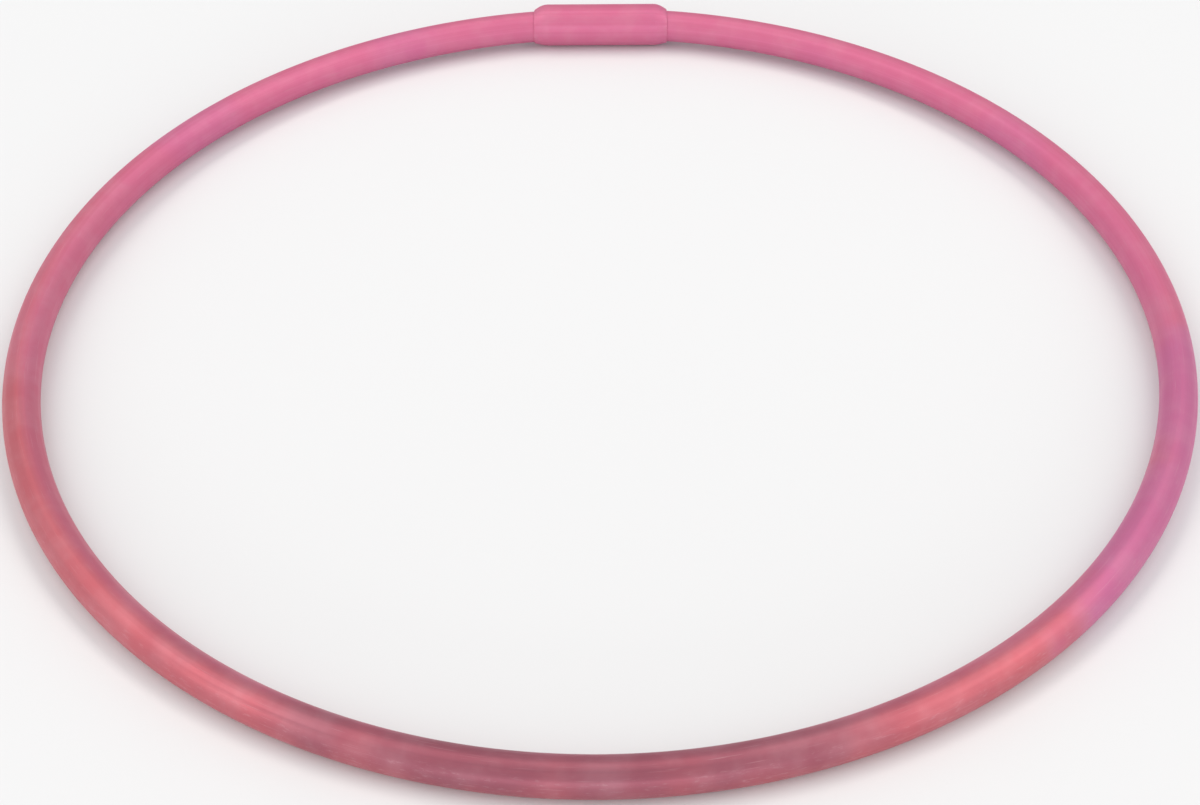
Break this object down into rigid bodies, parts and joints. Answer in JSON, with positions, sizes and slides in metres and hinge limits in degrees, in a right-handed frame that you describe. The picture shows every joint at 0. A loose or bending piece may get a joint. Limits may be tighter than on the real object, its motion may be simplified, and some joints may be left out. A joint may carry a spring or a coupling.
{
  "type": "rhythmic gymnastics hoop",
  "caption": "Round pink plastic hoop for rhythmic gymnastics: a bent tube whose ends meet on a hollow insert, riveted and covered by a short straight sleeve.",
  "frame": {"origin": "centre of the ring, at mid-height of the tube", "axes": "+Z along the ring's axis, up when the hoop lies flat; +Y towards the joint and its sleeve; +X along the joint, to the right seen from -Y"},
  "size_m": [0.6496, 0.6519, 0.0268],
  "materials": {
    "hoop_plastic": "satin",
    "sleeve_plastic": "satin",
    "insert_plastic": "matt moulded",
    "rivet_aluminium": "satin",
    "mandrel_steel": "zinc plated"
  },
  "bodies": {
    "root": {"hoop_tube": "hoop_plastic", "joint_sleeve": "sleeve_plastic", "joint_insert": "insert_plastic", "rivet_body_right_upper": "rivet_aluminium", "rivet_body_right_lower": "rivet_aluminium", "rivet_body_left_upper": "rivet_aluminium", "rivet_body_left_lower": "rivet_aluminium", "rivet_mandrel_right_upper": "mandrel_steel", "rivet_mandrel_right_lower": "mandrel_steel", "rivet_mandrel_left_upper": "mandrel_steel", "rivet_mandrel_left_lower": "mandrel_steel"}
  },
  "joints": []
}
